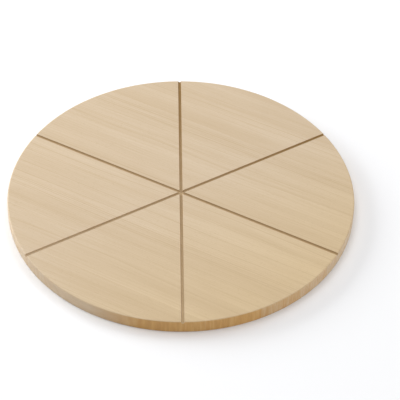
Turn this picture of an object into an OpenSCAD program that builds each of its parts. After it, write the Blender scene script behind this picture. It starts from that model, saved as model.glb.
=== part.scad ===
// Round serving board, glued up from staves of solid wood. Three grooves
// cross its upper face, mark six equal portions and run out through the rim.
// The board lies flat on z = 0, centred on the origin. The first groove
// runs along Y.

/* [Board] */
// Diameter of the board
board_d = 350; // [300:1:400]
// Thickness of the board
board_t = 14; // [12:0.5:20]
// Radius of the round along the upper edge of the rim
top_round_r = 1.25; // [0.5:0.25:3]
// Radius of the round along the lower edge of the rim
bottom_round_r = 1.25; // [0.5:0.25:3]

/* [Staves] */
// Number of staves, glued edge to edge
stave_count = 9; // [3:1:9]
// Width of the two outermost staves, from the joint out to the rim
edge_stave_w = 35; // [20:1:45]
// Thickness of the cured glue between two staves
glue_t = 0.15; // [0.1:0.05:0.3]
// Direction of the grain, as an angle from the X axis
grain_angle = -30; // [-90:5:90]

/* [Grooves] */
// Number of grooves, each one a full diameter long
groove_count = 3; // [1:1:4]
// Width of a groove between its upright walls
groove_w = 3; // [2.4:0.2:3.4]
// Depth of a groove below the upper face
groove_depth = 2; // [2:0.25:5]
// Radius that eases the two lips of a groove
groove_lip_r = 0.3; // [0.1:0.1:0.3]

/* [Hidden] */
// How far a cut runs past the face that it opens
overrun = 1;
// Width of the staves that lie between the two outermost ones
stave_w = (board_d - 2 * edge_stave_w) / (stave_count - 2);
// Half length of a band that reaches past the rim both ways
reach = board_d / 2 + overrun;
// Facets of the board's outline and of the small rounds
outline_fn = 180;
round_fn = 48;

// Place of the joint between stave i and the next one, across the grain
function joint_at(i) = edge_stave_w - board_d / 2 + (i - 1) * stave_w;

// Half section of the board, from its axis out to the rim
module rim_section() {
    radius = board_d / 2;
    top_seat = board_t - top_round_r;
    square([radius - max(top_round_r, bottom_round_r), board_t]);
    translate([0, bottom_round_r]) square([radius, top_seat - bottom_round_r]);
    translate([radius - top_round_r, top_seat]) circle(top_round_r, $fn = round_fn);
    translate([radius - bottom_round_r, bottom_round_r]) circle(bottom_round_r, $fn = round_fn);
}

// The board in one piece, before it is cut
module blank() {
    rotate_extrude($fn = outline_fn) rim_section();
}

// Section of a groove: a round bottom, upright walls and eased lips.
// The upper face of the board lies at zero.
module groove_section() {
    half_w = groove_w / 2;
    straight_h = groove_depth - half_w;
    lip_at = half_w + groove_lip_r;
    translate([0, -straight_h]) circle(half_w, $fn = round_fn);
    translate([-half_w, -straight_h]) square([groove_w, straight_h + overrun]);
    difference() {
        translate([-lip_at, -groove_lip_r]) square([2 * lip_at, groove_lip_r + overrun]);
        for (side = [-1, 1])
            translate([side * lip_at, -groove_lip_r]) circle(groove_lip_r, $fn = round_fn);
    }
}

// All the grooves, as the cutter leaves them
module grooves() {
    for (i = [0 : groove_count - 1])
        rotate(i * 180 / groove_count) translate([0, reach, board_t]) rotate([90, 0, 0])
            linear_extrude(2 * reach) groove_section();
}

// The band of the finished board that lies between two lines along the grain
module board_between(low, high) {
    difference() {
        intersection() {
            blank();
            rotate(grain_angle) translate([-reach, low, -overrun])
                cube([2 * reach, high - low, board_t + 2 * overrun]);
        }
        grooves();
    }
}

// One strip of solid wood. The two outermost ones run out to the rim.
module stave(i) {
    low = i == 1 ? -reach : joint_at(i - 1) + glue_t / 2;
    high = i == stave_count ? reach : joint_at(i) - glue_t / 2;
    color(i % 2 == 0 ? "#dcc49f" : "#e0c9a6") board_between(low, high);
}

// The film of cured glue between stave i and the next one
module glue_line(i) {
    color("#c9b183") board_between(joint_at(i) - glue_t / 2, joint_at(i) + glue_t / 2);
}

for (i = [1 : stave_count])
    stave(i);
for (i = [1 : stave_count - 1])
    glue_line(i);
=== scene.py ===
import math
import random
from functools import partial

import bmesh
import bpy
from mathutils import Matrix, Vector


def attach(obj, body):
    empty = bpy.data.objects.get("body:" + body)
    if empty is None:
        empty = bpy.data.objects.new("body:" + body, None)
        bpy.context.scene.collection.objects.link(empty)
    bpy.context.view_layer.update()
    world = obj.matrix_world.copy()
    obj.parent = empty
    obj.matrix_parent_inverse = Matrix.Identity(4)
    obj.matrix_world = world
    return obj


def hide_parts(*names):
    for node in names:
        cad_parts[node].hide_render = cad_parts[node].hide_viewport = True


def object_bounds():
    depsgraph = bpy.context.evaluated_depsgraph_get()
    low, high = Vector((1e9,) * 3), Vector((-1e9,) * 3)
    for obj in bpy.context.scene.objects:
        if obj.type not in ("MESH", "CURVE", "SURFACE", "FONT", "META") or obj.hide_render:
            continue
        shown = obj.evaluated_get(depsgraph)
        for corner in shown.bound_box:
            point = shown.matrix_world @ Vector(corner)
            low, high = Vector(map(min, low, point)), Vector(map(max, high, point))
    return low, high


mm = 0.001
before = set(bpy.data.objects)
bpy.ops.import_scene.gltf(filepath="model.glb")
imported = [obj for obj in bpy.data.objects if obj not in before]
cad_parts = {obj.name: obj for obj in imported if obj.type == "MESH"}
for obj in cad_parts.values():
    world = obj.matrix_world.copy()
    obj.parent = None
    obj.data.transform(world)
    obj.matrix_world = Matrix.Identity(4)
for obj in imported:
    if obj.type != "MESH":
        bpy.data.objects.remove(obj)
cadLow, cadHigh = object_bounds()
print("frame loaded:", len(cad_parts), "nodes")


# The board's outline and the lay of its grain. Radius and thickness come from the frame.
board = {
    "radius": cadHigh.y,
    "thickness": cadHigh.z,
    "grainAngle": math.radians(-30),  # from X, beside one of the grooves
    "rimSteps": 360,                  # round the rim, so that no flat shows
    "topRound": 1.25 * mm,
    "bottomRound": 1.25 * mm,
    "roundSteps": 8,
    "sharpAngle": math.radians(35),
    "cutSnap": 0.0001 * mm,           # a corner this near to a saw cut counts as on it
    "sliver": 0.002 * mm,             # anything thinner is dissolved
}
grainDir = Vector((math.cos(board["grainAngle"]), math.sin(board["grainAngle"]), 0))
acrossDir = Vector((-grainDir.y, grainDir.x, 0))

# The grooves, which cross at the centre. The first runs along Y.
groove = {
    "turns": [math.radians(degrees) for degrees in (0, 60, 120)],
    "width": 3 * mm,
    "depth": 2 * mm,
    "lipRound": 0.3 * mm,
    "lipLift": 0.02 * mm,  # keeps the lip's arc from only grazing the face
    "overrun": 3 * mm,     # how far the cutter reaches past the rim and above the face
    "bottomSteps": 16,
    "lipSteps": 5,
}


def linearColour(hexText):
    # sRGB hex to the linear values that shaders take
    channels = [int(hexText[i:i + 2], 16) / 255 for i in (1, 3, 5)]
    return tuple(c / 12.92 if c <= 0.04045 else ((c + 0.055) / 1.055) ** 2.4 for c in channels) + (1,)


def addNode(tree, kind, inputs=(), output=0, **settings):
    # Inputs come by name or in the node's own order. A socket is linked, anything else is set.
    node = tree.nodes.new("ShaderNode" + kind)
    node.location = (len(tree.nodes) * 200, 0)
    for name, value in settings.items():
        setattr(node, name, value)
    for name, value in inputs.items() if isinstance(inputs, dict) else enumerate(inputs):
        if isinstance(value, bpy.types.NodeSocket):
            tree.links.new(value, node.inputs[name])
        else:
            node.inputs[name].default_value = value
    return node.outputs[output] if node.outputs else None


def newMaterial(name):
    material = bpy.data.materials.new(name)
    material.use_nodes = True
    material.node_tree.nodes.clear()
    return material, material.node_tree


def vertsOf(geometry):
    return [g for g in geometry if isinstance(g, bmesh.types.BMVert)]


def meshObject(name, bm):
    mesh = bpy.data.meshes.new(name)
    bm.to_mesh(mesh)
    bm.free()
    piece = bpy.data.objects.new(name, mesh)
    bpy.context.scene.collection.objects.link(piece)
    return piece


# The whole board before it is grooved: a disc with both rim edges rounded
def makeBlank():
    bm = bmesh.new()
    bmesh.ops.create_circle(bm, cap_ends=True, segments=board["rimSteps"], radius=board["radius"])
    raised = bmesh.ops.extrude_face_region(bm, geom=bm.faces[:])
    bmesh.ops.translate(bm, verts=vertsOf(raised["geom"]), vec=(0, 0, board["thickness"]))
    middle = board["thickness"] / 2
    for above, size in ((True, board["topRound"]), (False, board["bottomRound"])):
        edges = [e for e in bm.edges if all((v.co.z > middle) == above for v in e.verts)]
        bmesh.ops.bevel(bm, geom=edges, offset=size, offset_type="OFFSET", affect="EDGES",
                        segments=board["roundSteps"], profile=0.5, material=-1, clamp_overlap=False)
    bmesh.ops.recalc_face_normals(bm, faces=bm.faces[:])
    return meshObject("blank", bm)


# A round-nosed cutter with a flare at the face that eases both lips
def makeCutter(turn):
    half = groove["width"] / 2
    lip = groove["lipRound"]
    lipOut = half + lip
    lipHeight = groove["lipLift"] - lip
    noseHeight = half - groove["depth"]
    bm = bmesh.new()

    def place(x, z):
        return bm.verts.new((x, 0, z))

    def turned(start, x, z, degrees, steps):
        arc = bmesh.ops.spin(bm, geom=[start], cent=(x, 0, z), axis=(0, 1, 0),
                             angle=math.radians(degrees), steps=steps)
        return vertsOf(arc["geom_last"])[0]

    leftTop = place(-lipOut, groove["overrun"])
    leftLip = place(-lipOut, groove["lipLift"])
    leftWall = turned(leftLip, -lipOut, lipHeight, 90, groove["lipSteps"])
    leftNose = place(-half, noseHeight)
    rightNose = turned(leftNose, 0, noseHeight, -180, groove["bottomSteps"])
    rightWall = place(half, lipHeight)
    rightLip = turned(rightWall, lipOut, lipHeight, 90, groove["lipSteps"])
    rightTop = place(lipOut, groove["overrun"])
    for ends in ((leftTop, leftLip), (leftWall, leftNose), (rightNose, rightWall),
                 (rightLip, rightTop), (rightTop, leftTop)):
        bmesh.ops.contextual_create(bm, geom=ends)
    reach = board["radius"] + groove["overrun"]
    section = bmesh.ops.edgeloop_fill(bm, edges=bm.edges[:])["faces"]
    drawn = bmesh.ops.extrude_face_region(bm, geom=section)
    bmesh.ops.translate(bm, verts=vertsOf(drawn["geom"]), vec=(0, 2 * reach, 0))
    bmesh.ops.translate(bm, verts=bm.verts[:], vec=(0, -reach, board["thickness"]))
    bmesh.ops.rotate(bm, verts=bm.verts[:], cent=(0, 0, 0), matrix=Matrix.Rotation(turn, 3, "Z"))
    bmesh.ops.recalc_face_normals(bm, faces=bm.faces[:])
    return meshObject("cutter", bm)


def cutAway(piece, cutter):
    cut = piece.modifiers.new("cut", "BOOLEAN")
    cut.operation = "DIFFERENCE"
    cut.solver = "EXACT"
    cut.object = cutter
    seen = piece.evaluated_get(bpy.context.evaluated_depsgraph_get())
    carved = bpy.data.meshes.new_from_object(seen)
    piece.modifiers.remove(cut)
    bpy.data.meshes.remove(cutter.data)
    piece.data = carved


carvedBoard = makeBlank()
for turn in groove["turns"]:
    cutAway(carvedBoard, makeCutter(turn))
print("board carved:", len(carvedBoard.data.polygons), "faces")


# One strip along the grain, cut out of the carved board where its node lies
def makeStrip(name):
    across = [v.co.dot(acrossDir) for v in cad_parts[name].data.vertices]
    bm = bmesh.new()
    bm.from_mesh(carvedBoard.data)
    for place, outward in ((min(across), -1), (max(across), 1)):
        if abs(place) > board["radius"] - board["topRound"]:
            continue  # this side of an outermost stave is the rim
        cut = bmesh.ops.bisect_plane(bm, geom=bm.verts[:] + bm.edges[:] + bm.faces[:],
                                     dist=board["cutSnap"], plane_co=acrossDir * place,
                                     plane_no=acrossDir * outward, clear_outer=True)
        edges = [g for g in cut["geom_cut"] if isinstance(g, bmesh.types.BMEdge)]
        bmesh.ops.edgeloop_fill(bm, edges=edges)
    # The grooves' cuts leave slivers where they meet
    bmesh.ops.dissolve_degenerate(bm, dist=board["sliver"], edges=bm.edges[:])
    bmesh.ops.recalc_face_normals(bm, faces=bm.faces[:])
    for face in bm.faces:
        face.smooth = True
    strip = meshObject("detailed_" + name, bm)
    strip.data.set_sharp_from_angle(angle=board["sharpAngle"])
    even = strip.modifiers.new("even normals", "WEIGHTED_NORMAL")
    even.keep_sharp = True
    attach(strip, "root")
    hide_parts(name)
    return strip


# Sanded beech with a thin coat of oil: pale and matt on the face, with a few growth lines
# and short ray flecks, and a painted warm shade on the face towards the front right. The end grain on the
# rim drinks more oil and turns brown, on some staves far more than on others, and its rays
# stand upright. The grooves are darker inside: a little scorch from the cutter, and painted shade that grows
# towards the back right.
beech = {
    "pale": "#ceba9e",
    "line": "#b79d78",
    "fleck": "#a78a66",
    # painted warm shade on the face towards the front right
    "warmShadeTint": "#ceb070",
    "oiledEnd": "#cb9e5c",
    "ray": "#bf904f",
    # darkens the grooves' inside: a little cutter scorch, and painted shade
    "scorchAndShade": "#97712c",
    "ior": 1.5,                          # cured oil and wood alike
    "gritStrength": 0.25,
    "gritHeight": 0.15 * mm,             # left by the sanding, along the fibres
    "ringWidth": 2.2 * mm,
    "wander": 8 * mm,                    # how far the growth rings stray along a stave
    "warmShadeSide": math.radians(-60),     # where the painted warm shade is strongest
    "grooveShadeSide": math.radians(60),      # where the painted shade in the grooves is deepest
    "darkeningTop": (0.1 * mm, 0.5 * mm),   # below the face: where the scorch and painted shade set in and are full
    "darkeningEnd": (0.2 * mm, 0.1 * mm),   # below a groove's bottom, so none reaches the underside
    # Each pattern's size in mm along the grain, across it and up, and its detail
    "patterns": {
        "wander": ((250, 40, 40), 2),
        "band": ((400, 16.7, 16.7), 3),
        "fibre": ((40, 1.43, 1.43), 3),  # ten times the real one, which is too fine to show
        "fleck": ((2.4, 0.455, 0.83), 1),
        "ray": ((25, 1.6, 25), 2),       # eight times the real one, for the same reason
    },
    # Where each effect sets in and where it is full, and its strength at both
    "spans": {
        "lateWood": (0.3, 0.95, 0, 1),     # within a year's ring
        "years": (0.6, 1, 0.1, 0.65),      # only about one year in four shows
        "band": (0.3, 0.7, 0, 0.45),
        "streak": (0.35, 0.75, 0, 0.25),
        "fleck": (0.62, 0.72, 0, 0.3),
        "upperFace": (0.4, 0.95, 0, 1),    # by how far a surface looks up
        "warmShade": (0, 0.9, 0, 0.4),        # from the middle of the board to the side of the painted warm shade
        "ray": (0.38, 0.62, 0, 1),
        "rayThirst": (0, 1, -0.2, 0.2),    # a ray takes up more oil than the wood beside it
        "endOn": (0.1, 0.6, 0, 1),         # by how squarely it crosses the fibres
        "offFaces": (0.4, 0.95, 1, 0),     # by how flat it lies
        "rim": (0.05, 0.2, 0, 1),          # by how far it looks outwards
        "inGroove": (0.05, 0.2, 1, 0),
        "scorchAndShade": (-1, 1, 0.1, 0.95),      # right across the board, growing to the side of the painted shade
        "roughness": (0.3, 0.7, 0.42, 0.6),
    },
    # How much oil the left and the right end of each stave took up
    "thirst": ((0, 1), (0.05, 1), (0.1, 0.55), (0.1, 0.32), (0.1, 0.15),
               (0.1, 0.1), (0.05, 0.2), (0.1, 0.3), (0.2, 0.2)),
    "edgeThirst": 0.12,                  # the same for the long grain on the rim
    "fullThirst": 0.32,                  # how squarely the fibres end where the thirst is full
    # What differs from stave to stave, drawn between these limits
    "seed": 7,
    "pithAside": (70 * mm, 130 * mm),    # to the left or the right of the board's middle
    "pithHeight": (-40 * mm, -15 * mm),
    "tone": (0.985, 1.015),
    "slide": (-4, 4),                    # of all the patterns, in their own sizes
}


def makeBeech(name, thirst, rng):
    material, tree = newMaterial(name)
    add = partial(addNode, tree)
    spans = beech["spans"]
    radius = board["radius"]
    pith = (rng.choice((-1, 1)) * rng.uniform(*beech["pithAside"]), rng.uniform(*beech["pithHeight"]))
    tone = rng.uniform(*beech["tone"])
    slide = (rng.uniform(*beech["slide"]),) * 3
    place = add("TexCoord", output="Object")
    # X runs along the grain from here on
    grain = add("Mapping", {"Vector": place, "Rotation": (0, 0, -board["grainAngle"])})
    spoke = add("VectorMath", (place, (1 / radius, 1 / radius, 0)), operation="MULTIPLY")

    def grainPattern(pattern, output="Fac"):
        size, detail = beech["patterns"][pattern]
        stretched = add("Mapping", {"Vector": grain, "Location": slide, "Scale": [1 / (s * mm) for s in size]})
        return add("TexNoise", {"Vector": stretched, "Scale": 1, "Detail": detail}, output)

    def towards(angle):
        # How far out a point lies on this side of the board, in radii
        side = (math.cos(angle), math.sin(angle), 0)
        return add("VectorMath", (spoke, side), "Value", operation="DOT_PRODUCT")

    # How far a surface turns from the flat face, how squarely it crosses the fibres, and
    # whether it looks outwards, as the rim does and the inside of a groove doesn't
    normal = add("TexCoord", output="Normal")
    rise = add("SeparateXYZ", (normal,), "Z")
    flat = add("Math", (rise,), operation="ABSOLUTE")
    crossing = add("VectorMath", (normal, tuple(grainDir)), "Value", operation="DOT_PRODUCT")
    outward = add("VectorMath", (normal, spoke), "Value", operation="DOT_PRODUCT")

    # The growth rings are wavering shells round the pith
    stray = add("VectorMath", (grainPattern("wander", "Color"), (0.5, 0.5, 0.5)), operation="SUBTRACT")
    warped = add("VectorMath", (stray, (beech["wander"],) * 3, grain), operation="MULTIPLY_ADD")
    fromPith = add("VectorMath", (warped, (0, *pith)), operation="SUBTRACT")
    crossGrain = add("VectorMath", (fromPith, (0, 1, 1)), operation="MULTIPLY")
    depth = add("VectorMath", (crossGrain,), "Value", operation="LENGTH")
    ring = add("Math", (depth, beech["ringWidth"]), operation="DIVIDE")
    season = add("Math", (ring,), operation="FRACT")
    year = add("Math", (ring,), operation="FLOOR")
    yearTone = add("TexWhiteNoise", {"W": year}, "Value", noise_dimensions="1D")
    lateWood = add("MapRange", (season, *spans["lateWood"]), interpolation_type="SMOOTHSTEP")
    shows = add("MapRange", (yearTone, *spans["years"]))
    growth = add("Math", (lateWood, shows), operation="MULTIPLY")

    # The bare face, from the palest wood to the darkest flecks
    band = add("MapRange", (grainPattern("band"), *spans["band"]))
    fibre = grainPattern("fibre")
    streak = add("MapRange", (fibre, *spans["streak"]))
    fleck = add("MapRange", (grainPattern("fleck"), *spans["fleck"]), interpolation_type="SMOOTHSTEP")
    upperFace = add("MapRange", (rise, *spans["upperFace"]))
    # Painted warm shade: the upper face turns warmer and a little darker towards the front right
    warmShade = add("MapRange", (towards(beech["warmShadeSide"]), *spans["warmShade"]))
    warmShade = add("Math", (warmShade, upperFace), operation="MULTIPLY")
    colour = tuple(c * tone for c in linearColour(beech["pale"])[:3]) + (1,)
    for amount, tint in ((warmShade, "warmShadeTint"), (growth, "line"), (band, "line"), (streak, "line"),
                         (fleck, "fleck")):
        colour = add("Mix", {0: amount, 6: colour, 7: linearColour(beech[tint])}, 2, data_type="RGBA")

    # The rim has taken up oil, most of all at the ends of the fibres and along the rays
    edge = beech["edgeThirst"] / 2
    leftEnd = add("MapRange", (crossing, 0, -beech["fullThirst"], edge, thirst[0]))
    rightEnd = add("MapRange", (crossing, 0, beech["fullThirst"], edge, thirst[1]))
    rays = add("MapRange", (grainPattern("ray"), *spans["ray"]))
    uneven = add("MapRange", (rays, *spans["rayThirst"]))
    endOn = add("MapRange", (add("Math", (crossing,), operation="ABSOLUTE"), *spans["endOn"]))
    rayShare = add("Math", (endOn, uneven), operation="MULTIPLY")
    oil = add("Math", (leftEnd, rightEnd), operation="ADD")
    oil = add("Math", (oil, rayShare), operation="ADD")
    offFaces = add("MapRange", (flat, *spans["offFaces"]))
    rim = add("MapRange", (outward, *spans["rim"]))
    for share in (offFaces, rim):
        oil = add("Math", (oil, share), operation="MULTIPLY")
    tints = {0: rays, 6: linearColour(beech["oiledEnd"]), 7: linearColour(beech["ray"])}
    oiled = add("Mix", tints, 2, data_type="RGBA")
    colour = add("Mix", {0: oil, 6: colour, 7: oiled}, 2, data_type="RGBA")

    # The grooves are darkened from just below the lips: a little scorch from the cutter, and painted shade that
    # grows towards the back right
    nearest = 1
    for turn in groove["turns"]:
        aside = add("Math", (towards(turn),), operation="ABSOLUTE")
        nearest = add("Math", (aside, nearest), operation="MINIMUM")
    wall = groove["width"] / 2
    lip = groove["lipRound"]
    betweenLips = add("MapRange", (nearest, (wall + lip) / radius, (wall + lip / 2) / radius, 0, 1))
    height = add("SeparateXYZ", (place,), "Z")
    start, full = (board["thickness"] - drop for drop in beech["darkeningTop"])
    belowLips = add("MapRange", (height, start, full, 0, 1))
    start, full = (board["thickness"] - groove["depth"] - drop for drop in beech["darkeningEnd"])
    aboveBottom = add("MapRange", (height, start, full, 0, 1))
    inGroove = add("MapRange", (outward, *spans["inGroove"]))
    # Painted shade in the grooves, growing towards the back right over a little scorch everywhere
    scorchAndShade = add("MapRange", (towards(beech["grooveShadeSide"]), *spans["scorchAndShade"]))
    for share in (betweenLips, belowLips, aboveBottom, inGroove):
        scorchAndShade = add("Math", (scorchAndShade, share), operation="MULTIPLY")
    colour = add("Mix", {0: scorchAndShade, 6: colour, 7: linearColour(beech["scorchAndShade"])}, 2, data_type="RGBA")

    rough = add("MapRange", (fibre, *spans["roughness"]))
    grit = add("Bump", {"Height": fibre, "Strength": beech["gritStrength"], "Distance": beech["gritHeight"]})
    shader = add("BsdfPrincipled", {"Base Color": colour, "Roughness": rough, "Normal": grit, "IOR": beech["ior"]})
    add("OutputMaterial", {"Surface": shader})
    return material


# Cured white wood glue, sanded flush: a hair of tan between two staves, a little glossier
woodGlue = {
    "dark": "#b2966c",
    "light": "#c2a67c",
    "patch": 12 * mm,    # from one paler stretch of the film to the next
    "patchDetail": 3,
    "roughness": 0.45,
}


def makeWoodGlue():
    material, tree = newMaterial("curedWoodGlue")
    add = partial(addNode, tree)
    place = add("TexCoord", output="Object")
    patches = add("TexNoise", {
        "Vector": place, "Scale": 1 / woodGlue["patch"], "Detail": woodGlue["patchDetail"]}, "Fac")
    tints = {0: patches, 6: linearColour(woodGlue["dark"]), 7: linearColour(woodGlue["light"])}
    colour = add("Mix", tints, 2, data_type="RGBA")
    shader = add("BsdfPrincipled", {"Base Color": colour, "Roughness": woodGlue["roughness"]})
    add("OutputMaterial", {"Surface": shader})
    return material


rng = random.Random(beech["seed"])
glueMaterial = makeWoodGlue()
for name in sorted(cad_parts):
    strip = makeStrip(name)
    if name.startswith("stave"):
        thirst = beech["thirst"][int(name.split("_")[-1]) - 1]
        strip.data.materials.append(makeBeech("oiledBeech_" + name, thirst, rng))
    else:
        strip.data.materials.append(glueMaterial)
bpy.data.objects.remove(carvedBoard)
print("staves and glue lines made")


# The photograph's view: a long lens from the front, 44 degrees above the board
camera = {
    "lens": 143.66,
    "sensor": 36,
    "farEnd": 50,                     # how far it sees, in metres
    "elevation": math.radians(44.196),
    "azimuth": math.radians(-1.767),  # the first groove's turn from the line of sight
    "roll": math.radians(1.049),
    "distance": 9.1787,               # this and the aim are in board radii
    "aim": (0.1099, -0.0619),
}


def makeCamera():
    lens = bpy.data.cameras.new("camera")
    lens.lens = camera["lens"]
    lens.sensor_width = camera["sensor"]
    lens.clip_end = camera["farEnd"]
    turn = Matrix.Rotation(camera["azimuth"], 3, "Z")
    radius = board["radius"]
    aim = turn @ (Vector((*camera["aim"], 0)) * radius) + Vector((0, 0, board["thickness"]))
    back = turn @ Vector((0, -math.cos(camera["elevation"]), math.sin(camera["elevation"])))
    right = turn @ Vector((1, 0, 0))
    up = back.cross(right)
    tilt = Matrix((right, up, back)).transposed() @ Matrix.Rotation(camera["roll"], 3, "Z")
    eye = bpy.data.objects.new("camera", lens)
    eye.matrix_world = Matrix.Translation(aim + back * camera["distance"] * radius) @ tilt.to_4x4()
    bpy.context.scene.collection.objects.link(eye)
    bpy.context.scene.camera = eye


makeCamera()
print("camera placed")


# Soft daylight studio: a long low window at the back left gives the shadows, and a ceiling,
# a back wall and soft panels at the back, the right and the front fill them
studio = {
    "floorSize": 8,
    "floor": "#f4f4f4",      # matt white paint, which takes the shadow and no reflection
    "floorRoughness": 0.9,
    "room": "#fbfbff",
    "roomStrength": 0.33,
    # azimuth and elevation in degrees, distance, width and height in metres, power in watts, colour
    "softboxes": {
        "window": (150, 20, 1.6, 1.5, 0.85, 26.8, "#fbfdff"),
        "ceiling": (180, 75, 1.6, 0.7, 0.7, 5, "#ffffff"),
        "backWall": (90, 52, 2.2, 1, 1, 5.6, "#ffffff"),
        "backPanel": (60, 60, 2.2, 1, 1, 5.3, "#ffffff"),
        "screen": (0, 14, 2.2, 1, 0.9, 7.9, "#ffffff"),
        "rightPanel": (330, 35, 2.2, 1, 1, 8, "#ffffff"),
        "frontPanel": (270, 52, 2.2, 1, 1, 4.9, "#ffffff"),
    },
}


def makeStudio():
    bm = bmesh.new()
    bmesh.ops.create_grid(bm, x_segments=1, y_segments=1, size=studio["floorSize"] / 2)
    floor = meshObject("floor", bm)
    material, tree = newMaterial("mattWhitePaint")
    shader = addNode(tree, "BsdfPrincipled", {
        "Base Color": linearColour(studio["floor"]), "Roughness": studio["floorRoughness"]})
    addNode(tree, "OutputMaterial", {"Surface": shader})
    floor.data.materials.append(material)

    world = bpy.data.worlds.new("room")
    bpy.context.scene.world = world
    world.use_nodes = True
    world.node_tree.nodes["Background"].inputs["Color"].default_value = linearColour(studio["room"])
    world.node_tree.nodes["Background"].inputs["Strength"].default_value = studio["roomStrength"]

    for name, (azimuth, elevation, distance, width, height, power, colour) in studio["softboxes"].items():
        light = bpy.data.lights.new(name, "AREA")
        light.shape = "RECTANGLE"
        light.size = width
        light.size_y = height
        light.energy = power
        light.color = linearColour(colour)[:3]
        lamp = bpy.data.objects.new(name, light)
        turn = Matrix.Rotation(math.radians(azimuth), 3, "Z") @ Matrix.Rotation(-math.radians(elevation), 3, "Y")
        place = turn @ Vector((distance, 0, 0))
        lamp.matrix_world = Matrix.Translation(place) @ place.to_track_quat("Z", "Y").to_matrix().to_4x4()
        bpy.context.scene.collection.objects.link(lamp)
    bpy.context.scene.view_settings.view_transform = "Standard"


makeStudio()
print("studio lit")
